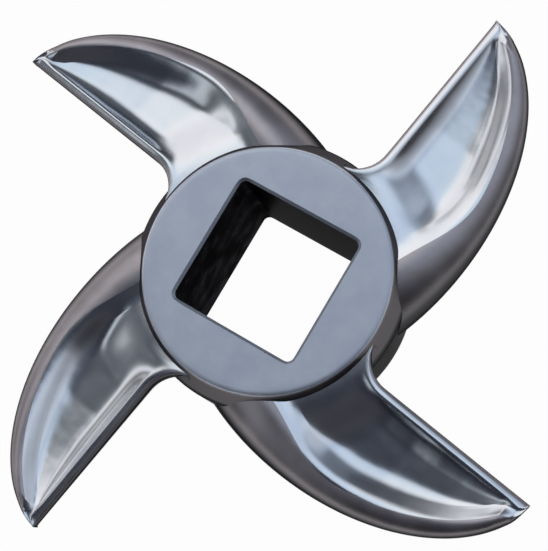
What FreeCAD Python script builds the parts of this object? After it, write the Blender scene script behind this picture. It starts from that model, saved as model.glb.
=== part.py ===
import FreeCAD, Part
import Sketcher
import math
import os

# Meat grinder knife: one steel casting, ground and polished. A thick round hub with a square
# through bore carries four sickle blades. +Z is the hub's axis and points to the cutting side,
# Z = 0 is the hub's back face, and X and Y run parallel to the sides of the square bore.
# Lengths are in millimetres, angles in degrees.
DRIVING_SIZES = [
    ("tip_radius", 47.0, "circle that the blade tips run in"),
    ("blade_count", 4, "blades around the hub"),
    ("blade_lag", 9.0, "leading edge direction, clockwise of the bore side's normal"),
    ("lead_offset", 2.4, "leading edge line, clear of the hub's centre"),
    ("land_drop", 1.0, "cutting lands below the hub's ground face"),
    ("land_width", 1.2, "flat land behind the leading edge"),
    ("rim_width", 4.4, "bull-nosed back rim, from crest to outside"),
    ("crest_drop", 0.5, "crest of the back rim below the land"),
    ("scoop_depth", 1.7, "hollow between land and crest"),
    ("back_centre", 17.0, "middle of the back's ellipse, out along the blade"),
    ("back_shift", 1.0, "middle of the back's ellipse, behind the hub's centre"),
    ("back_half_width", 19.5, "half axis of the back's ellipse, across the blade"),
    ("nose_run", 0.4, "end of the back's ellipse past the tip, which blunts the tip"),
    ("root_depth", 13.0, "blade thickness at the hub"),
    ("tip_depth", 3.5, "blade thickness at the tip"),
    ("belly_run", 3.0, "slope under the back rim, measured across"),
    ("edge_wall", 3.0, "upright wall under the leading edge, at the hub"),
    ("tip_wall", 1.5, "upright wall under the leading edge, at the tip"),
    ("rake_angle", 28.0, "leading face below that wall, leaned back from upright"),
    ("grind_stock", 0.3, "stock on the lands and walls before they are ground"),
    ("root_fillet", 5.0, "inside radius between a leading edge and the hub"),
    ("hub_radius", 17.45, "ground face of the hub"),
    ("hub_depth", 22.0, "hub from face to face"),
    ("face_bevel", 0.4, "bevel round the ground face"),
    ("skirt_radius", 19.3, "foot of the flare, where the blades spring from the hub"),
    ("flare_drop", 3.3, "foot of the flare below the ground face"),
    ("boss_radius", 16.8, "boss on the feed screw's side"),
    ("boss_chamfer", 1.0, "chamfer at the boss's back face"),
    ("bore_side", 19.0, "square bore across its flats"),
    ("bore_corner", 1.0, "corner radius of the square bore"),
    ("bore_bevel", 0.4, "bevel at both mouths of the bore"),
]

# The blade's sections, from inside the hub to the tip: the share of the way, and how many times
# the rim's width each one has.
FIRST_SECTION = 2.0
SECTIONS = [(0.0, 1.9), (0.2, 1.8), (0.42, 1.2), (0.63, 1.0), (0.82, 1.0), (0.94, 1.0),
            (1.0, 1.0)]

# The blade narrows towards its tip. Each of these is the most of its width there that the land,
# the rim, the slope under it, the raked leading face or the crest's drop may take.
LAND_SHARE = 0.28
RIM_SHARE = 0.45
BELLY_SHARE = 0.38
RAKE_SHARE = 0.36
CREST_SHARE = 0.04

# The scoop's depth is at most this share of its chord, and the rim is widest this share of the
# way down the blade.
SCOOP_SHARE = 0.16
WIDEST_SHARE = 0.55

# Cutters run on past the outside of the knife by this much, and a joined corner sinks this much.
RUN_OUT = 10.0
SINK = 1.0
SHEET = "Sizes"


class Size:
    """A number, and the expression that gives the same number from the sheet."""

    def __init__(self, number, text=None):
        self.number = float(number)
        self.text = repr(self.number) if text is None else text

    def joined(self, sign, other, number):
        return Size(number, "(%s %s %s)" % (self.text, sign, other.text))

    def __add__(self, other):
        other = as_size(other)
        return self.joined("+", other, self.number + other.number)

    def __sub__(self, other):
        other = as_size(other)
        return self.joined("-", other, self.number - other.number)

    def __mul__(self, other):
        other = as_size(other)
        return self.joined("*", other, self.number * other.number)

    def __truediv__(self, other):
        other = as_size(other)
        return self.joined("/", other, self.number / other.number)


def as_size(value):
    return value if isinstance(value, Size) else Size(value)


def root_of(size):
    return Size(math.sqrt(size.number), "sqrt(%s)" % size.text)


def reach_of(across, along):
    return root_of(across * across + along * along)


def tangent(degrees):
    return Size(math.tan(math.radians(degrees.number)), "tan(%s * 1 deg)" % degrees.text)


def least(first, second):
    return Size(min(first.number, second.number), "min(%s; %s)" % (first.text, second.text))


def arc_radius(chord, rise):
    """Radius of the arc over a chord, from its rise."""
    return (chord * chord / 4 + rise * rise) / (rise * 2)


def make_sheet(doc):
    """The sheet of driving sizes, and a Size for each of its cells."""
    sheet = doc.addObject("Spreadsheet::Sheet", SHEET)
    sizes = {}
    for row, (name, value, note) in enumerate(DRIVING_SIZES, start=1):
        sheet.set("A%d" % row, note)
        sheet.set("B%d" % row, str(value))
        sheet.setAlias("B%d" % row, name)
        sizes[name] = Size(value, "%s.%s" % (SHEET, name))
    doc.recompute()
    return sizes


def origin_feature(body, role):
    return next(item for item in body.Origin.OriginFeatures if item.Role == role)


class Outline:
    """A closed sketch outline whose corners and radii are bound to the sheet."""

    def __init__(self, body, name, plane, offset=None):
        self.sketch = body.newObject("Sketcher::SketchObject", name)
        self.sketch.AttachmentSupport = [(origin_feature(body, plane), "")]
        self.sketch.MapMode = "FlatFace"
        if offset is not None:
            self.sketch.setExpression("AttachmentOffset.Base.z", offset.text)
        self.edges = []

    def bind(self, constraint, size):
        index = self.sketch.addConstraint(constraint)
        self.sketch.setExpression("Constraints[%d]" % index, size.text)

    def place(self, edge, end, across, along):
        """Hold one end of an edge at a point given by two Sizes, which may be negative."""
        for kind, size, axis in (("DistanceX", across, -2), ("DistanceY", along, -1)):
            if size.number == 0:
                self.sketch.addConstraint(Sketcher.Constraint("PointOnObject", edge, end, axis))
            elif size.number < 0:
                turned = Size(0) - size
                self.bind(Sketcher.Constraint(kind, edge, end, -1, 1, turned.number), turned)
            else:
                self.bind(Sketcher.Constraint(kind, -1, 1, edge, end, size.number), size)

    def draw(self, corners, bends):
        """Join corners by lines, or by arcs where bends names a radius: minus is hollow."""
        points = [FreeCAD.Vector(x.number, y.number, 0) for x, y in corners]
        ends = []
        for index, start in enumerate(points):
            finish = points[(index + 1) % len(points)]
            bend = bends.get(index)
            if bend is None:
                edge = self.sketch.addGeometry(Part.LineSegment(start, finish))
                ends.append((edge, 1, 2))
            elif bend[0] == "hollow":
                edge = self.sketch.addGeometry(arc_between(finish, start, bend[1].number))
                ends.append((edge, 2, 1))
            else:
                edge = self.sketch.addGeometry(arc_between(start, finish, bend[1].number))
                ends.append((edge, 1, 2))
        for index, (edge, first, last) in enumerate(ends):
            after, after_first, _ = ends[(index + 1) % len(ends)]
            self.sketch.addConstraint(
                Sketcher.Constraint("Coincident", edge, last, after, after_first))
            self.place(edge, first, *corners[index])
            if index in bends:
                size = bends[index][1]
                self.bind(Sketcher.Constraint("Radius", edge, size.number), size)
        return self.sketch


def arc_between(start, finish, radius):
    """The shorter arc that runs counter-clockwise from start to finish."""
    chord = finish - start
    rise = math.sqrt(max(radius ** 2 - chord.Length ** 2 / 4, 0.0))
    left = FreeCAD.Vector(-chord.y, chord.x, 0).normalize()
    centre = (start + finish) / 2 + left * rise
    turn = [math.atan2(p.y - centre.y, p.x - centre.x) for p in (start, finish)]
    return Part.ArcOfCircle(Part.Circle(centre, FreeCAD.Vector(0, 0, 1), radius), *turn)


def ground_level(sizes):
    """The plane that the cutting lands are ground to."""
    return sizes["hub_depth"] - sizes["land_drop"]


def tapered(sizes, at_hub, at_tip, share):
    """A size that shrinks evenly from the hub to the tip."""
    return sizes[at_hub] - (sizes[at_hub] - sizes[at_tip]) * share


def leading_reach(sizes):
    """Where the straight leading edge meets the tip circle, out along the blade."""
    reach = sizes["tip_radius"] * sizes["tip_radius"]
    return root_of(reach - sizes["lead_offset"] * sizes["lead_offset"])


def section_width(sizes, station):
    """From the leading edge back to the ellipse that bounds the blade."""
    half_length = leading_reach(sizes) + sizes["nose_run"] - sizes["back_centre"]
    along = (station - sizes["back_centre"]) / half_length
    half_width = sizes["back_half_width"] * root_of(as_size(1) - along * along)
    return half_width + sizes["back_shift"] - sizes["lead_offset"]


def blade_section(body, sizes, number, share, rim_times):
    """Land, hollow scoop, bull-nosed back, underside, raked leading face and upright wall."""
    station = (leading_reach(sizes) - FIRST_SECTION) * share + FIRST_SECTION
    width = section_width(sizes, station)
    depth = tapered(sizes, "root_depth", "tip_depth", share)
    wall = tapered(sizes, "edge_wall", "tip_wall", share)
    stock = sizes["grind_stock"]
    land_z = ground_level(sizes)
    top_z = land_z + stock
    under_z = land_z - depth
    side_z = land_z - depth * WIDEST_SHARE
    crest_z = land_z - least(sizes["crest_drop"], width * CREST_SHARE)
    edge = as_size(0) - sizes["lead_offset"]
    scoop_start = edge - least(sizes["land_width"], width * LAND_SHARE) + stock
    crest = edge - width + least(sizes["rim_width"] * rim_times, width * RIM_SHARE)
    belly = edge - width + least(sizes["belly_run"], width * BELLY_SHARE)
    rake = least((depth - wall) * tangent(sizes["rake_angle"]), width * RAKE_SHARE)
    chord = reach_of(scoop_start - crest, top_z - crest_z)
    corners = [
        (edge + stock, top_z),
        (scoop_start, top_z),
        (crest, crest_z),
        (edge - width, side_z),
        (belly, under_z),
        (edge - rake, under_z),
        (edge + stock, land_z - wall),
    ]
    bends = {
        1: ("hollow", arc_radius(chord, least(sizes["scoop_depth"], chord * SCOOP_SHARE))),
        2: ("round", arc_radius((crest_z - side_z) * 2, crest - edge + width)),
    }
    outline = Outline(body, "BladeSection%d" % number, "YZ_Plane", station)
    return outline.draw(corners, bends)


def make_blade(body, sizes):
    """One sickle blade, lofted through its sections from inside the hub to the tip."""
    sections = [blade_section(body, sizes, number, *shares)
                for number, shares in enumerate(SECTIONS, start=1)]
    blade = body.newObject("PartDesign::AdditiveLoft", "Blade")
    blade.Profile = sections[0]
    blade.Sections = sections[1:]
    return blade


def root_places(sizes):
    """Centre of the root fillet, and where it meets the leading edge and the skirt."""
    radius = sizes["root_fillet"]
    skirt = sizes["skirt_radius"]
    edge = as_size(0) - sizes["lead_offset"]
    up = edge + radius
    out = root_of((skirt + radius) * (skirt + radius) - up * up)
    meet = skirt / (skirt + radius)
    return (out, up), (out, edge), (out * meet, up * meet)


def make_root(body, sizes):
    """Metal in the corner between a leading edge and the hub, for the root fillet."""
    stock = sizes["grind_stock"]
    _, on_edge, on_skirt = root_places(sizes)
    inside = sizes["bore_side"] / 2
    sunk = on_edge[1] - SINK
    corners = [
        (inside, sunk),
        (on_edge[0] + stock * 2, sunk),
        (on_edge[0] + stock * 2, on_edge[1] + stock),
        (on_skirt[0] + stock * 2, on_skirt[1]),
        (inside, on_skirt[1]),
    ]
    below = ground_level(sizes) - sizes["edge_wall"]
    outline = Outline(body, "RootOutline", "XY_Plane", below).draw(corners, {})
    upper = body.newObject("PartDesign::Pad", "Root")
    upper.Profile = outline
    upper.setExpression("Length", (sizes["edge_wall"] + stock).text)
    return upper


def make_gullet(body, sizes):
    """The gap in front of a blade: its upright wall and the root fillet, cut in one."""
    _, on_edge, on_skirt = root_places(sizes)
    far = sizes["tip_radius"] + RUN_OUT
    corners = [on_edge, (far, on_edge[1]), (far, far), on_skirt]
    outline = Outline(body, "GulletOutline", "XY_Plane").draw(
        corners, {3: ("round", sizes["root_fillet"])})
    gullet = body.newObject("PartDesign::Pocket", "Gullet")
    gullet.Profile = outline
    gullet.Type = "ThroughAll"
    gullet.Reversed = True
    return gullet


def repeat_round_hub(body, sizes, name, features):
    ring = body.newObject("PartDesign::PolarPattern", name)
    ring.Originals = features
    ring.Axis = (origin_feature(body, "Z_Axis"), [""])
    ring.Angle = 360
    ring.setExpression("Occurrences", sizes["blade_count"].text)
    body.Tip = ring
    return ring


def grind_lands(body, sizes):
    """All the lands, ground off in one plane."""
    sketch = Outline(body, "LandPlane", "XY_Plane", ground_level(sizes)).sketch
    wide = sizes["tip_radius"] + RUN_OUT
    sketch.addGeometry(Part.Circle(FreeCAD.Vector(0, 0, 0), FreeCAD.Vector(0, 0, 1), wide.number))
    sketch.addConstraint(Sketcher.Constraint("Coincident", 0, 3, -1, 1))
    index = sketch.addConstraint(Sketcher.Constraint("Radius", 0, wide.number))
    sketch.setExpression("Constraints[%d]" % index, wide.text)
    lands = body.newObject("PartDesign::Pocket", "Lands")
    lands.Profile = sketch
    lands.Type = "ThroughAll"
    lands.Reversed = True
    return lands


def make_hub(body, sizes):
    """The hub, turned about its axis: boss, skirt, flare and ground face with its bevel."""
    zero = as_size(0)
    depth = sizes["hub_depth"]
    boss = sizes["boss_radius"]
    skirt = sizes["skirt_radius"]
    chamfer = sizes["boss_chamfer"]
    bevel = sizes["face_bevel"]
    face = sizes["hub_radius"]
    under_z = ground_level(sizes) - sizes["root_depth"]
    corners = [
        (zero, zero),
        (boss - chamfer, zero),
        (boss, chamfer),
        (boss, under_z - (skirt - boss)),
        (skirt, under_z),
        (skirt, depth - sizes["flare_drop"]),
        (face, depth - bevel),
        (face - bevel, depth),
        (zero, depth),
    ]
    sketch = Outline(body, "HubProfile", "XZ_Plane").draw(corners, {})
    hub = body.newObject("PartDesign::Revolution", "Hub")
    hub.Profile = sketch
    hub.ReferenceAxis = (sketch, ["V_Axis"])
    hub.Angle = 360
    return hub


def make_bore(doc, body, sizes):
    """The square through bore, with rounded corners and a bevel at both mouths."""
    half = sizes["bore_side"] / 2
    inner = half - sizes["bore_corner"]
    less = as_size(0) - half
    less_inner = as_size(0) - inner
    corners = [
        (less_inner, less), (inner, less), (half, less_inner), (half, inner),
        (inner, half), (less_inner, half), (less, inner), (less, less_inner),
    ]
    bends = {index: ("round", sizes["bore_corner"]) for index in (1, 3, 5, 7)}
    sketch = Outline(body, "BoreOutline", "XY_Plane").draw(corners, bends)
    sketch.setExpression("AttachmentOffset.Rotation.Angle", sizes["blade_lag"].text)
    bore = body.newObject("PartDesign::Pocket", "Bore")
    bore.Profile = sketch
    bore.Type = "ThroughAll"
    bore.Reversed = True
    doc.recompute()
    mouths = [name for name, edge in named_edges(bore.Shape) if is_mouth(edge, sizes)]
    bevel = body.newObject("PartDesign::Chamfer", "BoreBevel")
    bevel.Base = (bore, mouths)
    bevel.setExpression("Size", sizes["bore_bevel"].text)
    return bevel


def named_edges(shape):
    return [("Edge%d" % index, edge) for index, edge in enumerate(shape.Edges, start=1)]


def is_mouth(edge, sizes):
    """An edge of the bore that lies in one of the hub's two faces."""
    box = edge.BoundBox
    level = min(abs(box.ZMin), abs(box.ZMin - sizes["hub_depth"].number))
    reach = max(point.x ** 2 + point.y ** 2 for point in edge.discretize(5)) ** 0.5
    corner = sizes["bore_side"].number * 0.5 * math.sqrt(2)
    return box.ZLength < 1e-4 and level < 1e-4 and reach < corner + 1e-3


def check(doc):
    for item in doc.Objects:
        if "Invalid" in item.State or "Error" in item.State:
            raise RuntimeError("%s failed: %s" % (item.Label, item.State))


def main():
    doc = FreeCAD.newDocument("MeatGrinderKnife")
    sizes = make_sheet(doc)
    body = doc.addObject("PartDesign::Body", "grinder_knife")
    repeat_round_hub(body, sizes, "Blades", [make_blade(body, sizes), make_root(body, sizes)])
    repeat_round_hub(body, sizes, "Gullets", [make_gullet(body, sizes)])
    grind_lands(body, sizes)
    make_hub(body, sizes)
    make_bore(doc, body, sizes)
    body.Placement.Rotation = FreeCAD.Rotation(FreeCAD.Vector(0, 0, -1), 1)
    body.setExpression("Placement.Rotation.Angle", sizes["blade_lag"].text)
    doc.recompute()
    check(doc)
    shape = body.Shape
    if shape.isNull() or not shape.isValid() or len(shape.Solids) != 1:
        raise RuntimeError("the knife isn't one valid solid")
    box = shape.BoundBox
    print("volume %.1f mm3, box %.2f x %.2f x %.2f mm"
          % (shape.Volume, box.XLength, box.YLength, box.ZLength))
    os.makedirs("parts", exist_ok=True)
    shape.exportStep("parts/%s.step" % body.Label)


main()
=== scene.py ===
import bmesh
import bpy
import math
from collections import namedtuple
from mathutils import Matrix, Vector


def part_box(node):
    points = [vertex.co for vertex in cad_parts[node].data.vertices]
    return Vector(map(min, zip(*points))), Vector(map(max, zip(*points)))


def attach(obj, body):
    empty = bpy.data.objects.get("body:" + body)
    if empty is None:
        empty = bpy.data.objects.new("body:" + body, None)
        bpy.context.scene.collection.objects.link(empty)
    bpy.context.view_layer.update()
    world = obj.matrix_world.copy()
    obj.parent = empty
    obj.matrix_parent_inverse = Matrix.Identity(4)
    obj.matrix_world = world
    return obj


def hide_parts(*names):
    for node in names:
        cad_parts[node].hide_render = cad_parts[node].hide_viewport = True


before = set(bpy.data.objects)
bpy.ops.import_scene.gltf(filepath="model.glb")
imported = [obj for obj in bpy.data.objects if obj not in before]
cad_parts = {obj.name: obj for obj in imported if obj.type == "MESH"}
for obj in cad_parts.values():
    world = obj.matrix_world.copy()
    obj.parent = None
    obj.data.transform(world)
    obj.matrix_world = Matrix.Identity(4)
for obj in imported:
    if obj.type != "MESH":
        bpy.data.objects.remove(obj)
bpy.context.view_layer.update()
MM = 0.001


# The steel that the knife is cast in, and the four finishes that its faces have. The hub's face is
# ground flat and stays matt, the lands and scoops are polished, the rest keeps a satin cast skin
# with painted shade darkening its upright sides, and the bore's walls are painted near black as shade.
GROUND, POLISHED, SATIN, BORE_PAINTED_SHADE = range(4)
CLOUD_DETAIL = 2.0
CLOUD_WAVE = 0.05 * MM
GRAIN_DETAIL = 3.0
GRAIN_RELIEF = 0.02 * MM
PATCH_EDGES = (0.35, 0.65)
# How upright a face is where the painted side shade is full, and where it has faded out.
SIDE_SHADE_SLOPES = (0.4, 0.97)


def new_material(name):
    """A material, with its nodes and its links."""
    material = bpy.data.materials.new(name)
    material.use_nodes = True
    return material, material.node_tree.nodes, material.node_tree.links


def make_mottle():
    """A node group: soft clouds for the colour and the gloss, and a fine grain as a normal."""
    group = bpy.data.node_groups.new("steel_mottle", "ShaderNodeTree")
    for name in ("Cloud Scale", "Grain Scale", "Grain Height"):
        group.interface.new_socket(name, in_out="INPUT", socket_type="NodeSocketFloat")
    group.interface.new_socket("Cloud", in_out="OUTPUT", socket_type="NodeSocketFloat")
    group.interface.new_socket("Normal", in_out="OUTPUT", socket_type="NodeSocketVector")
    nodes, links = group.nodes, group.links
    given = nodes.new("NodeGroupInput")
    made = nodes.new("NodeGroupOutput")
    place = nodes.new("ShaderNodeTexCoord")
    cloud = nodes.new("ShaderNodeTexNoise")
    cloud.inputs["Detail"].default_value = CLOUD_DETAIL
    grain = nodes.new("ShaderNodeTexNoise")
    grain.inputs["Detail"].default_value = GRAIN_DETAIL
    waves = nodes.new("ShaderNodeBump")
    waves.inputs["Strength"].default_value = 1.0
    waves.inputs["Distance"].default_value = CLOUD_WAVE
    relief = nodes.new("ShaderNodeBump")
    relief.inputs["Distance"].default_value = GRAIN_RELIEF
    links.new(place.outputs["Object"], cloud.inputs["Vector"])
    links.new(place.outputs["Object"], grain.inputs["Vector"])
    links.new(given.outputs["Cloud Scale"], cloud.inputs["Scale"])
    links.new(given.outputs["Grain Scale"], grain.inputs["Scale"])
    links.new(given.outputs["Grain Height"], relief.inputs["Strength"])
    links.new(cloud.outputs["Fac"], waves.inputs["Height"])
    links.new(grain.outputs["Fac"], relief.inputs["Height"])
    links.new(waves.outputs["Normal"], relief.inputs["Normal"])
    links.new(cloud.outputs["Fac"], made.inputs["Cloud"])
    links.new(relief.outputs["Normal"], made.inputs["Normal"])
    return group


mottle_group = make_mottle()


def painted_side_shade(nodes, links, colour, side_shade_colour):
    """Paints shade: fades a colour to a dark shade colour as a face turns upright."""
    place = nodes.new("ShaderNodeTexCoord")
    slope = nodes.new("ShaderNodeSeparateXYZ")
    links.new(place.outputs["Normal"], slope.inputs["Vector"])
    fade = nodes.new("ShaderNodeMapRange")
    fade.interpolation_type = "SMOOTHSTEP"
    fade.inputs["From Min"].default_value = SIDE_SHADE_SLOPES[0]
    fade.inputs["From Max"].default_value = SIDE_SHADE_SLOPES[1]
    links.new(slope.outputs["Z"], fade.inputs["Value"])
    blend = nodes.new("ShaderNodeMix")
    blend.data_type = "RGBA"
    blend.inputs["A"].default_value = (*side_shade_colour, 1)
    links.new(fade.outputs["Result"], blend.inputs["Factor"])
    links.new(colour, blend.inputs["B"])
    return blend.outputs["Result"]


def steel(name, light, dark, rough, rough_spread, clouds, grain, grain_height, rim_tint=1.0, side=None):
    """One finish of the steel: its light and dark patches, its gloss and its grain.

    A rim_tint below 1 takes off shine where the steel is seen at a low angle. side is a dark colour
    of painted shade that its upright faces fade to.
    """
    material, nodes, links = new_material(name)
    shader = nodes["Principled BSDF"]
    shader.inputs["Metallic"].default_value = 1.0
    shader.inputs["Specular Tint"].default_value = (rim_tint, rim_tint, rim_tint, 1)
    mottle = nodes.new("ShaderNodeGroup")
    mottle.node_tree = mottle_group
    mottle.inputs["Cloud Scale"].default_value = clouds
    mottle.inputs["Grain Scale"].default_value = grain
    mottle.inputs["Grain Height"].default_value = grain_height
    patches = nodes.new("ShaderNodeValToRGB")
    for stop, place, tone in zip(patches.color_ramp.elements, PATCH_EDGES, (dark, light)):
        stop.position = place
        stop.color = (*tone, 1)
    links.new(mottle.outputs["Cloud"], patches.inputs["Fac"])
    colour = patches.outputs["Color"]
    # Painted shade: the upright faces are darkened towards the side colour.
    if side is not None:
        colour = painted_side_shade(nodes, links, colour, side)
    links.new(colour, shader.inputs["Base Color"])
    gloss = nodes.new("ShaderNodeMapRange")
    gloss.inputs["To Min"].default_value = rough - rough_spread
    gloss.inputs["To Max"].default_value = rough + rough_spread
    links.new(mottle.outputs["Cloud"], gloss.inputs["Value"])
    links.new(gloss.outputs["Result"], shader.inputs["Roughness"])
    links.new(mottle.outputs["Normal"], shader.inputs["Normal"])
    return material


finishes = [
    steel("steel_ground", light=(0.80, 0.85, 0.95), dark=(0.72, 0.77, 0.89),
          rough=0.55, rough_spread=0.05, clouds=260, grain=2400, grain_height=0.5),
    steel("steel_polished", light=(0.86, 0.87, 0.90), dark=(0.80, 0.81, 0.86),
          rough=0.19, rough_spread=0.03, clouds=180, grain=1600, grain_height=0.12),
    # The satin's side colour is painted shade that darkens its upright faces.
    steel("steel_satin_painted_side_shade", light=(0.58, 0.53, 0.56), dark=(0.48, 0.44, 0.46),
          rough=0.38, rough_spread=0.05, clouds=200, grain=1800, grain_height=0.4,
          rim_tint=0.25, side=(0.07, 0.07, 0.075)),
    # The bore's walls are painted near black: painted shade for the deep bore.
    steel("steel_bore_painted_shade", light=(0.05, 0.05, 0.055), dark=(0.014, 0.014, 0.016),
          rough=0.5, rough_spread=0.08, clouds=300, grain=2700, grain_height=0.6, rim_tint=0.3),
]


# The knife's hub: the middle of one steel casting. Its cutting side is ground flat, its rim
# flares out to a skirt that the blades spring from, and a turned boss stands on the back.
HUB_DEPTH = 22.0 * MM
HUB_RADIUS = 17.45 * MM
FACE_BEVEL = 0.4 * MM
FACE_RING = 1.6 * MM
SKIRT_RADIUS = 19.3 * MM
FLARE_DROP = 3.3 * MM
BOSS_RADIUS = 16.8 * MM
BOSS_CHAMFER = 1.0 * MM
FACE_STEP = 1.0 * MM
LAND_Z = HUB_DEPTH - FACE_STEP
ROOT_DEPTH = 13.0 * MM
HUB_ROUNDING_SHARE = 0.4
CORNER_STEPS = 4
HUB_STEPS = 288
AROUND = [2 * math.pi * step / HUB_STEPS for step in range(HUB_STEPS)]


def rounded_corner(start, corner, end, share):
    """A point of the curve that rounds a corner over, from its start at 0 to its end at 1."""
    return start.lerp(corner, share).lerp(corner.lerp(end, share), share)


def hub_outline():
    """The hub's turned profile, as (radius, height), from the back face round to the cutting side.

    A corner between the two ends also has how far it is rounded over.
    """
    under_z = LAND_Z - ROOT_DEPTH
    corners = [
        (BOSS_RADIUS - BOSS_CHAMFER, 0.0),
        (BOSS_RADIUS, BOSS_CHAMFER, 0.2 * MM),
        (BOSS_RADIUS, under_z - (SKIRT_RADIUS - BOSS_RADIUS), 0.5 * MM),
        (SKIRT_RADIUS, under_z, 0.8 * MM),
        (SKIRT_RADIUS, HUB_DEPTH - FLARE_DROP, 0.8 * MM),
        (HUB_RADIUS, HUB_DEPTH - FACE_BEVEL, 0.25 * MM),
        (HUB_RADIUS - FACE_BEVEL, HUB_DEPTH, 0.5 * MM),
        (HUB_RADIUS - FACE_RING, HUB_DEPTH),
    ]
    points = [Vector(corners[0])]
    for before, here, after in zip(corners, corners[1:], corners[2:]):
        corner = Vector(here[:2])
        ends = []
        for other in (before, after):
            way = Vector(other[:2]) - corner
            ends.append(corner + way.normalized() * min(here[2], way.length * HUB_ROUNDING_SHARE))
        for step in range(CORNER_STEPS + 1):
            points.append(rounded_corner(ends[0], corner, ends[1], step / CORNER_STEPS))
    points.append(Vector(corners[-1]))
    return points


def ring(radii, height):
    """A ring of points round the hub's axis, with one radius for each way in AROUND."""
    return [Vector((r * math.cos(a), r * math.sin(a), height)) for r, a in zip(radii, AROUND)]


def skin(name, loops, finish_at):
    """A closed mesh through loops of points. finish_at says which finish each of its faces has."""
    mesh = bpy.data.meshes.new(name)
    form = bmesh.new()
    rows = [[form.verts.new(point) for point in loop] for loop in loops]
    for number, (row, after) in enumerate(zip(rows, rows[1:])):
        for i in range(len(row)):
            j = (i + 1) % len(row)
            face = form.faces.new((row[i], row[j], after[j], after[i]))
            face.material_index = finish_at(number, i)
    for row, number in ((rows[0], 0), (rows[-1], len(rows) - 2)):
        form.faces.new(row).material_index = finish_at(number, 0)
    bmesh.ops.recalc_face_normals(form, faces=form.faces)
    form.to_mesh(mesh)
    form.free()
    for finish in finishes:
        mesh.materials.append(finish)
    piece = bpy.data.objects.new(name, mesh)
    bpy.context.scene.collection.objects.link(piece)
    return piece


def make_hub():
    """The hub before it is broached: rings of points from the back face up to the cutting side."""
    rings = [ring([radius] * HUB_STEPS, height) for radius, height in hub_outline()]
    return skin("hub_form", rings,
                lambda number, _: GROUND if rings[number][0].z > HUB_DEPTH - FACE_BEVEL else SATIN)


# The square bore: it takes the square end of the feed screw. It is broached right through, its
# corners are rounded by the broach, and both mouths have a small ground bevel.
BORE_SIDE = 19.0 * MM
BORE_CORNER = 1.0 * MM
BORE_BEVEL = 0.4 * MM
BROACH_OVERRUN = 1.0 * MM


def bore_radius(angle, widened):
    """How far the wall of the bore, widened all round, lies from its centre in a direction."""
    half = BORE_SIDE / 2 + widened
    corner = BORE_CORNER + widened
    turned = (angle + math.pi / 4) % (math.pi / 2) - math.pi / 4
    flat = half / math.cos(turned)
    if flat * abs(math.sin(turned)) <= half - corner:
        return flat
    centre = Vector((half - corner, half - corner))
    way = Vector((math.cos(abs(turned)), math.sin(abs(turned))))
    nearest = way.dot(centre)
    return nearest + math.sqrt(max(0.0, corner ** 2 - centre.length_squared + nearest ** 2))


def make_broach():
    """The form that the broach cuts out, wider at both mouths for their bevels."""
    mouth = BORE_BEVEL + BROACH_OVERRUN
    levels = [(HUB_DEPTH + BROACH_OVERRUN, mouth), (HUB_DEPTH - BORE_BEVEL, 0.0),
              (BORE_BEVEL, 0.0), (-BROACH_OVERRUN, mouth)]
    rings = [ring([bore_radius(a, widened) for a in AROUND], height) for height, widened in levels]
    # The bore's walls take the painted shade finish, and its mouths' bevels are ground.
    return skin("broach", rings, lambda number, _: BORE_PAINTED_SHADE if number == 1 else GROUND)


# The four blades: sickle-shaped, each with a narrow land behind its straight leading edge, a hollow
# scoop, a bull-nosed back rim and a raked underside. They are cast in one with the hub, and their
# lands and scoops are then ground and polished.
BLADE_COUNT = 4
BLADE_LAG = math.radians(9.0)
TIP_RADIUS = 47.0 * MM
TIP_DEPTH = 3.5 * MM
LEAD_OFFSET = 2.4 * MM
LEAD_REACH = math.sqrt(TIP_RADIUS ** 2 - LEAD_OFFSET ** 2)
FIRST_STATION = 2.0 * MM
STATIONS = 110
STATION_PACKING = 1.5

# The back's long curve, half of an ellipse, and the inside radius that the leading edge ends in
# where it meets the hub's flare at the height of the lands.
BACK_CENTRE = 17.0 * MM
BACK_SHIFT = 1.0 * MM
BACK_HALF_WIDTH = 19.5 * MM
NOSE_RUN = 0.4 * MM
ROOT_FILLET = 5.0 * MM
FLARE_SLOPE = (SKIRT_RADIUS - HUB_RADIUS) / (FLARE_DROP - FACE_BEVEL)
FLARE_MEET = HUB_RADIUS + (HUB_DEPTH - FACE_BEVEL - LAND_Z) * FLARE_SLOPE

# Across the blade: the land, which slants outwards past the root, the scoop and how far its walls
# run, the crest and the rim, which is wider at the root. Stations are distances from the hub's axis.
LAND_WIDTH = 1.2 * MM
LAND_SLANT = 0.3 * MM
SLANT_STATIONS = (18.0 * MM, 26.0 * MM)
SCOOP_DEPTH = 1.7 * MM
LEAD_RUN = 3.6 * MM
BACK_RUN = 5.0 * MM
ROOT_RUN = 9.0 * MM
WALL_BEND = 3.0
CREST_DROP = 0.5 * MM
RIM_WIDTH = 4.4 * MM
ROOT_RIM = 4.4 * MM
RIM_STATIONS = (7.0 * MM, 28.0 * MM)
SIDE_SHARE = 0.55
BELLY_RUN = 3.0 * MM
RAKE_SLOPE = math.tan(math.radians(28.0))
EDGE_WALL = 3.0 * MM
TIP_WALL = 1.5 * MM

# Towards the tip all narrow together: each size across the blade is held to a share of the blade's
# width, the scoop's depth and walls to shares of the scoop's own width, and a rounding to a share of
# the way that it is cut from.
LAND_SHARE = 0.28
SLANT_SHARE = 0.1
LEAD_RUN_SHARE = 0.4
BACK_RUN_SHARE = 0.5
SCOOP_SHARE = 0.16
CREST_SHARE = 0.04
RIM_SHARE = 0.66
BELLY_SHARE = 0.38
RAKE_SHARE = 0.36
BLADE_ROUNDING_SHARE = 0.42

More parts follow.
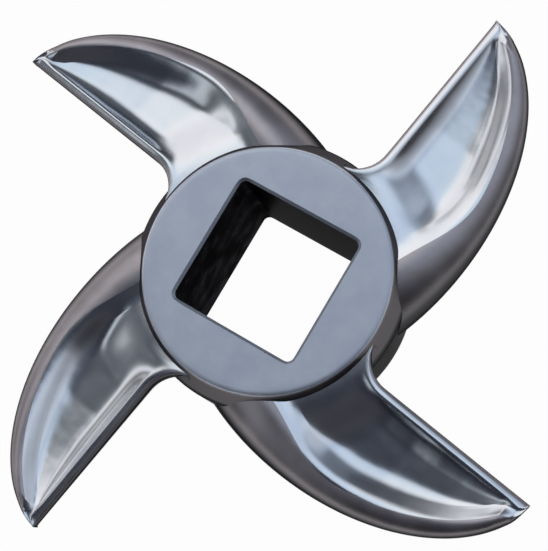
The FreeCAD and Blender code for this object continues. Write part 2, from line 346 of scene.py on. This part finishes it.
# The tip: the scoop fades out over the last of the blade's length, and the last millimetre closes
# towards the leading edge, slowly at first, and stays open by a small part of a step.
SCOOP_FADE = (0.92, 0.985)
TIP_ROUNDING = 1.0 * MM
TIP_STEPS = 12
TIP_LEFT_OPEN = 0.2
TIP_SLOPE = 0.457
TIP_POWER = 4.0
TIP_THINNING = 0.4

# A run of the blade's outline: the points that it follows up to the next run, how many faces it is
# divided into, how far the corner at its start is rounded over, and its finish.
Run = namedtuple("Run", "points faces rounding finish")
SCOOP_POINTS = 80
RIM_POINTS = 30


def eased(value, low, high):
    """0 below low, 1 above high, and a step between that bends softly at both ends."""
    t = min(1.0, max(0.0, (value - low) / (high - low)))
    return t ** 3 * (t * (6 * t - 15) + 10)


def leading_edge(station):
    """The leading edge: straight, and led round the inside radius to the hub's flare."""
    fillet_y = ROOT_FILLET - LEAD_OFFSET
    fillet_x = math.sqrt((FLARE_MEET + ROOT_FILLET) ** 2 - fillet_y ** 2)
    if station >= fillet_x:
        return -LEAD_OFFSET
    station = max(station, fillet_x * FLARE_MEET / (FLARE_MEET + ROOT_FILLET))
    return fillet_y - math.sqrt(ROOT_FILLET ** 2 - (fillet_x - station) ** 2)


def scoop_line(station, land, crest, hollow):
    """The scoop across the blade: its floor, led up to the land, the crest and the hub's flare."""
    wide = land.x - crest.x
    lead_run = min(LEAD_RUN, wide * LEAD_RUN_SHARE)
    back_run = min(BACK_RUN, wide * BACK_RUN_SHARE)
    points = []
    for i in range(SCOOP_POINTS):
        point = land.lerp(crest, i / SCOOP_POINTS)
        near = math.hypot(max(0.0, 1 - (land.x - point.x) / lead_run),
                          max(0.0, 1 - (point.x - crest.x) / back_run))
        from_hub = eased(math.hypot(station, point.x), FLARE_MEET, FLARE_MEET + ROOT_RUN)
        points.append(point - Vector((0, hollow * (1 - min(1.0, near) ** WALL_BEND) * from_hub)))
    return points


def rim_arc(crest, side):
    """The rim's bull nose: an arc from the crest that comes upright where it reaches the side."""
    out, rise = crest - side
    radius = (rise ** 2 + out ** 2) / (2 * out)
    centre = side + Vector((radius, 0))
    first = crest - centre
    turn = math.pi - math.atan2(first.y, first.x)
    return [centre + Matrix.Rotation(turn * i / RIM_POINTS, 2) @ first for i in range(RIM_POINTS)]


def along(points, distance):
    """The point at a distance along a way of points."""
    left = distance
    for a, b in zip(points, points[1:]):
        step = (b - a).length
        if left <= step:
            return a.lerp(b, left / step)
        left -= step
    return points[-1]


def closed_outline(runs):
    """The points of a closed outline through the runs, and the finish of the face at each."""
    spaced = []
    for run, after in zip(runs, runs[1:] + runs[:1]):
        way = run.points + after.points[:1]
        length = sum((b - a).length for a, b in zip(way, way[1:]))
        most = length * BLADE_ROUNDING_SHARE
        start = min(run.rounding, most)
        inside = length - start - min(after.rounding, most)
        spaced.append([along(way, start + inside * i / run.faces) for i in range(run.faces + 1)])
    outline = []
    finish = []
    for index, run in enumerate(runs):
        ends = spaced[index - 1][-1], spaced[index][0]
        for step in range(1, CORNER_STEPS):
            outline.append(rounded_corner(ends[0], run.points[0], ends[1], step / CORNER_STEPS))
            finish.append(runs[index - 1].finish)
        outline += spaced[index]
        finish += [run.finish] * (run.faces + 1)
    return outline, finish


def blade_section(station):
    """The blade's outline at a station, and the finish of each of its faces."""
    share = (station - FIRST_STATION) / (LEAD_REACH - FIRST_STATION)
    half_length = LEAD_REACH + NOSE_RUN - BACK_CENTRE
    bulge = math.sqrt(max(0.0, 1 - ((station - BACK_CENTRE) / half_length) ** 2))
    back = -BACK_HALF_WIDTH * bulge - BACK_SHIFT
    edge = leading_edge(station)
    width = edge - back
    depth = ROOT_DEPTH + (TIP_DEPTH - ROOT_DEPTH) * share
    wall = EDGE_WALL + (TIP_WALL - EDGE_WALL) * share
    rim = RIM_WIDTH + ROOT_RIM * (1 - eased(station, *RIM_STATIONS))
    slant = min(LAND_SLANT, width * SLANT_SHARE) * eased(station, *SLANT_STATIONS)
    rake = min((depth - wall) * RAKE_SLOPE, width * RAKE_SHARE)
    lead = Vector((edge, LAND_Z - slant))
    land = Vector((edge - min(LAND_WIDTH, width * LAND_SHARE), LAND_Z))
    crest = Vector((back + min(rim, width * RIM_SHARE), LAND_Z - min(CREST_DROP, width * CREST_SHARE)))
    side = Vector((back, LAND_Z - depth * SIDE_SHARE))
    belly = Vector((back + min(BELLY_RUN, width * BELLY_SHARE), LAND_Z - depth))
    foot = Vector((-LEAD_OFFSET - rake, LAND_Z - depth))
    heel = Vector((edge, LAND_Z - wall))
    hollow = min(SCOOP_DEPTH, (land - crest).length * SCOOP_SHARE) * (1 - eased(share, *SCOOP_FADE))
    outline, finish = closed_outline([
        Run([lead], 3, 0.5 * MM, POLISHED),
        Run(scoop_line(station, land, crest, hollow), 40, 0.35 * MM, POLISHED),
        Run(rim_arc(crest, side), 18, 1.3 * MM, SATIN),
        Run([side], 4, 1.2 * MM, SATIN),
        Run([belly], 6, 1.2 * MM, SATIN),
        Run([foot], 4, 0.8 * MM, SATIN),
        Run([heel], 3, 0.5 * MM, SATIN),
    ])
    if share > SCOOP_FADE[1]:
        finish = [SATIN] * len(finish)
    return [Vector((station, y, z)) for y, z in outline], finish


def make_blade(number):
    """One blade: sections packed closer towards the tip, which then closes to a point."""
    last = LEAD_REACH - TIP_ROUNDING
    loops = []
    finish_rows = []
    for i in range(STATIONS):
        packed = 1 - (1 - i / (STATIONS - 1)) ** STATION_PACKING
        loop, finish = blade_section(FIRST_STATION + (last - FIRST_STATION) * packed)
        loops.append(loop)
        finish_rows.append(finish)
    end = loops[-1]
    lead = max(end, key=lambda point: point.y)
    for step in range(1, TIP_STEPS + 1):
        t = step / (TIP_STEPS + TIP_LEFT_OPEN)
        narrow = 1 - TIP_SLOPE * t - (1 - TIP_SLOPE) * t ** TIP_POWER
        thin = 1 - TIP_THINNING * t ** TIP_POWER
        loops.append([Vector((last + TIP_ROUNDING * t, lead.y + (point.y - lead.y) * narrow,
                              LAND_Z + (point.z - LAND_Z) * thin)) for point in end])
        finish_rows.append(finish_rows[-1])
    blade = skin("blade_form_%d" % number, loops, lambda row, i: finish_rows[row][i])
    blade.data.transform(Matrix.Rotation(number * 2 * math.pi / BLADE_COUNT - BLADE_LAG, 4, "Z"))
    return blade


# The whole knife: the hub and the four blades are one casting with no joint in it, so they are
# melted into one skin, and the square bore is then broached through it.
SHARP_ANGLE = math.radians(32.0)


def join_casting(hub, blades, broach):
    """Melts the hub and the blades into one closed skin, and broaches the bore through it."""
    for other, work in [(blade, "UNION") for blade in blades] + [(broach, "DIFFERENCE")]:
        step = hub.modifiers.new(other.name, "BOOLEAN")
        step.operation = work
        step.solver = "MANIFOLD"
        step.object = other
    bpy.context.view_layer.update()
    shown = hub.evaluated_get(bpy.context.evaluated_depsgraph_get())
    mesh = bpy.data.meshes.new_from_object(shown)
    for form in [hub, *blades, broach]:
        bpy.data.objects.remove(form)
    casting = bpy.data.objects.new("knife_casting", mesh)
    bpy.context.scene.collection.objects.link(casting)
    return casting


knife = join_casting(make_hub(), [make_blade(number) for number in range(BLADE_COUNT)], make_broach())
knife.data.shade_smooth()
knife.data.set_sharp_from_angle(angle=SHARP_ANGLE)
even_normals = knife.modifiers.new("even_normals", "WEIGHTED_NORMAL")
even_normals.keep_sharp = True
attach(knife, "root")
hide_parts("grinder_knife")


# The floor: a plain white sheet that the knife lies on. It keeps the knife's soft shadow, and
# shows its full white to the camera and in reflections.
FLOOR_HALF_SIDE = 5.0
FLOOR_GAP = 0.02 * MM
FLOOR_GREY = 0.8
FLOOR_ROUGHNESS = 0.9
FLOOR_GLOW = 1.0
GLOW_SHARE = 0.975

floor_mesh = bpy.data.meshes.new("floor")
floor_form = bmesh.new()
bmesh.ops.create_grid(floor_form, x_segments=1, y_segments=1, size=FLOOR_HALF_SIDE)
floor_form.to_mesh(floor_mesh)
floor_form.free()
floor = bpy.data.objects.new("floor", floor_mesh)
floor.location.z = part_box("grinder_knife")[0].z - FLOOR_GAP
bpy.context.scene.collection.objects.link(floor)
paper, paper_nodes, paper_links = new_material("white_paper")
paper_shader = paper_nodes["Principled BSDF"]
paper_shader.inputs["Base Color"].default_value = (FLOOR_GREY, FLOOR_GREY, FLOOR_GREY, 1)
paper_shader.inputs["Roughness"].default_value = FLOOR_ROUGHNESS
glow = paper_nodes.new("ShaderNodeEmission")
glow.inputs["Strength"].default_value = FLOOR_GLOW
rays = paper_nodes.new("ShaderNodeLightPath")
seen = rays.outputs["Is Camera Ray"]
for kind in ("Is Glossy Ray", "Is Transmission Ray"):
    either = paper_nodes.new("ShaderNodeMath")
    either.operation = "MAXIMUM"
    paper_links.new(seen, either.inputs[0])
    paper_links.new(rays.outputs[kind], either.inputs[1])
    seen = either.outputs[0]
glow_share = paper_nodes.new("ShaderNodeMath")
glow_share.operation = "MULTIPLY"
glow_share.inputs[1].default_value = GLOW_SHARE
paper_links.new(seen, glow_share.inputs[0])
paper_mix = paper_nodes.new("ShaderNodeMixShader")
paper_links.new(glow_share.outputs[0], paper_mix.inputs[0])
paper_links.new(paper_shader.outputs[0], paper_mix.inputs[1])
paper_links.new(glow.outputs[0], paper_mix.inputs[2])
paper_links.new(paper_mix.outputs[0], paper_nodes["Material Output"].inputs["Surface"])
floor_mesh.materials.append(paper)


# The camera: it looks down on the cutting side from close by, as in the photograph. It is placed
# by where the hub's face lies there, and by how the face is tilted and turned.
PHOTO_SIZE = Vector((548.0, 551.0))
FACE_PIXEL = Vector((265.8, 269.3))
FACE_TILT = (math.radians(-8.8), math.radians(11.5))
FACE_ROLL = math.radians(59.0)
PIXELS_PER_MM = 7.352
CAMERA_DISTANCE = 200.0 * MM
SENSOR_WIDTH = 36.0
CLIP_START = 10.0 * MM

focal_pixels = PIXELS_PER_MM / MM * CAMERA_DISTANCE
face_offset = (FACE_PIXEL - PHOTO_SIZE / 2) / focal_pixels * CAMERA_DISTANCE
face_centre = Vector((face_offset.x, -face_offset.y, -CAMERA_DISTANCE))
axis_z = Vector((math.sin(FACE_TILT[0]), math.sin(FACE_TILT[1]), 0))
axis_z.z = math.sqrt(1 - axis_z.length_squared)
flat_x = (Vector((1, 0, 0)) - axis_z * axis_z.x).normalized()
flat_y = axis_z.cross(flat_x)
axis_x = flat_x * math.cos(FACE_ROLL) + flat_y * math.sin(FACE_ROLL)
axis_y = axis_z.cross(axis_x)
to_world = Matrix((axis_x, axis_y, axis_z))
camera_place = Vector((0, 0, HUB_DEPTH)) - to_world @ face_centre
camera_data = bpy.data.cameras.new("camera")
camera_data.sensor_fit = "HORIZONTAL"
camera_data.sensor_width = SENSOR_WIDTH
camera_data.lens = focal_pixels / PHOTO_SIZE.x * SENSOR_WIDTH
camera_data.clip_start = CLIP_START
camera = bpy.data.objects.new("camera", camera_data)
camera.matrix_world = Matrix.Translation(camera_place) @ to_world.to_4x4()
bpy.context.scene.collection.objects.link(camera)
bpy.context.scene.camera = camera


# The sky: a soft studio, light towards the photograph's upper right and dim towards its lower left,
# with one light strip high on the upper left's side. It is dark low down all round. Each part of
# it is placed by how far a way leans to the upper right, or to the upper left.
UPPER_LEFT = math.radians(81.0)
UPPER_RIGHT = math.radians(-9.0)
DIM_SKY = [
    (-1.0, (0.02, 0.02, 0.022)), (-0.3, (0.05, 0.05, 0.06)), (0.0, (0.028, 0.03, 0.042)),
    (0.14, (0.012, 0.013, 0.024)), (0.25, (0.024, 0.03, 0.045)), (0.36, (0.04, 0.048, 0.065)),
    (0.48, (0.07, 0.08, 0.10)), (0.58, (0.18, 0.195, 0.21)), (0.68, (0.92, 0.94, 0.97)),
    (0.76, (0.70, 0.71, 0.73)), (0.85, (0.14, 0.14, 0.15)), (1.0, (0.08, 0.08, 0.09)),
]
LIGHT_SKY = [
    (-1.0, (0.12, 0.12, 0.13)), (-0.6, (0.40, 0.44, 0.50)), (-0.3, (0.62, 0.69, 0.78)),
    (-0.06, (0.50, 0.60, 0.75)), (0.10, (0.66, 0.78, 0.92)), (0.20, (0.62, 0.74, 0.86)),
    (0.27, (0.78, 0.87, 0.95)), (0.34, (0.92, 0.98, 1.0)), (0.50, (1.0, 1.0, 1.0)),
    (0.78, (0.9, 0.9, 0.92)), (1.0, (0.35, 0.35, 0.37)),
]
RISING = (0.0, 1.0)
FALLING = (1.0, 0.0)

# Where the light part begins, also in the strip where it reaches further left, and where it ends:
# to the right, away from the upper left, and far right. The patch is a small light part inside the
# dim one. The whole sky darkens towards the horizon.
LIGHT_START = (0.03, 0.10)
STRIP_START = (-0.03, 0.05)
STRIP_EDGES = ((0.37, 0.46), (0.56, 0.66))
RIGHT_END, RIGHT_LEVELS = (0.38, 0.68), (1.0, 0.2)
LOW_END, LOW_LEVELS = (-0.15, 0.05), (0.8, 0.0)
FAR_END, FAR_LEVELS = (0.44, 0.66), (1.0, 0.03)
FAR_EDGES = ((0.20, 0.28), (0.46, 0.56))
PATCH_END, PATCH_LEVELS = (-0.32, -0.12), (0.75, 0.0)
PATCH_BAND = ((0.20, 0.27), (0.34, 0.42))
HORIZON_REACH, HORIZON_LEVELS = (0.0, 0.5), (0.12, 1.0)

world = bpy.data.worlds.new("studio")
world.use_nodes = True
bpy.context.scene.world = world
sky_nodes, sky_links = world.node_tree.nodes, world.node_tree.links
sky_way = sky_nodes.new("ShaderNodeTexCoord").outputs["Generated"]


def lean_towards(angle):
    """How far each way of the sky leans towards a compass angle, from -1 to 1."""
    dot = sky_nodes.new("ShaderNodeVectorMath")
    dot.operation = "DOT_PRODUCT"
    dot.inputs[1].default_value = (math.cos(angle), math.sin(angle), 0)
    sky_links.new(sky_way, dot.inputs[0])
    return dot.outputs["Value"]


def spread_over(value, reach, levels, kind="SMOOTHSTEP"):
    """A value taken from a reach over to its levels there."""
    node = sky_nodes.new("ShaderNodeMapRange")
    node.interpolation_type = kind
    for name, setting in zip(("From Min", "From Max", "To Min", "To Max"), (*reach, *levels)):
        node.inputs[name].default_value = setting
    sky_links.new(value, node.inputs["Value"])
    return node.outputs["Result"]


def taken_together(operation, first, *others):
    """Several values of the sky taken together, one after the other."""
    for other in others:
        node = sky_nodes.new("ShaderNodeMath")
        node.operation = operation
        sky_links.new(first, node.inputs[0])
        sky_links.new(other, node.inputs[1])
        first = node.outputs[0]
    return first


def sky_colours(stops_wanted, place):
    """A run of colours over the leans from -1 to 1."""
    node = sky_nodes.new("ShaderNodeValToRGB")
    stops = node.color_ramp.elements
    for index, (lean, colour) in enumerate(stops_wanted):
        stop = stops[0] if index == 0 else stops.new((lean + 1) / 2)
        stop.color = (*colour, 1)
    stops.remove(stops[-1])
    sky_links.new(place, node.inputs["Fac"])
    return node.outputs["Color"]


to_right = lean_towards(UPPER_RIGHT)
to_left = lean_towards(UPPER_LEFT)
strip = taken_together("MULTIPLY", spread_over(to_right, STRIP_START, RISING),
                       spread_over(to_left, STRIP_EDGES[0], RISING),
                       spread_over(to_left, STRIP_EDGES[1], FALLING))
light_start = taken_together("MAXIMUM", spread_over(to_right, LIGHT_START, RISING), strip)
light_end = taken_together("MAXIMUM", spread_over(to_right, RIGHT_END, RIGHT_LEVELS),
                           spread_over(to_left, LOW_END, LOW_LEVELS))
far_end = taken_together("MAXIMUM", spread_over(to_right, FAR_END, FAR_LEVELS),
                         spread_over(to_left, FAR_EDGES[0], FALLING),
                         spread_over(to_left, FAR_EDGES[1], RISING))
patch = taken_together("MULTIPLY", spread_over(to_right, PATCH_END, PATCH_LEVELS),
                       spread_over(to_left, PATCH_BAND[0], RISING),
                       spread_over(to_left, PATCH_BAND[1], FALLING))
light_part = taken_together("MINIMUM", taken_together("MULTIPLY", light_start, light_end), far_end)
ramp_place = spread_over(to_left, (-1.0, 1.0), RISING, "LINEAR")
sky_mix = sky_nodes.new("ShaderNodeMix")
sky_mix.data_type = "RGBA"
sky_links.new(taken_together("MAXIMUM", light_part, patch), sky_mix.inputs["Factor"])
sky_links.new(sky_colours(DIM_SKY, ramp_place), sky_mix.inputs["A"])
sky_links.new(sky_colours(LIGHT_SKY, ramp_place), sky_mix.inputs["B"])
sky_height = sky_nodes.new("ShaderNodeSeparateXYZ")
sky_links.new(sky_way, sky_height.inputs["Vector"])
sky_level = spread_over(sky_height.outputs["Z"], HORIZON_REACH, HORIZON_LEVELS)
sky_links.new(sky_mix.outputs["Result"], sky_nodes["Background"].inputs["Color"])
sky_links.new(sky_level, sky_nodes["Background"].inputs["Strength"])


# The lamp: one wide soft lamp that stands off the photograph's upper left. It gives the knife its
# shadow on the floor, and isn't seen in the steel.
LAMP_AZIMUTH = math.radians(92.0)
LAMP_ELEVATION = math.radians(36.0)
LAMP_DISTANCE = 600.0 * MM
LAMP_SIDE = 450.0 * MM
LAMP_POWER = 0.35

lamp_data = bpy.data.lights.new("soft_lamp", "AREA")
lamp_data.size = LAMP_SIDE
lamp_data.energy = LAMP_POWER
lamp = bpy.data.objects.new("soft_lamp", lamp_data)
lamp_way = Vector((math.cos(LAMP_AZIMUTH) * math.cos(LAMP_ELEVATION),
                   math.sin(LAMP_AZIMUTH) * math.cos(LAMP_ELEVATION), math.sin(LAMP_ELEVATION)))
lamp.location = lamp_way * LAMP_DISTANCE
lamp.visible_glossy = False
lamp.rotation_mode = "QUATERNION"
lamp.rotation_quaternion = (-lamp_way).to_track_quat("-Z", "Y")
bpy.context.scene.collection.objects.link(lamp)


# The finished scene: its colours are shown plainly.
bpy.context.scene.view_settings.view_transform = "Standard"
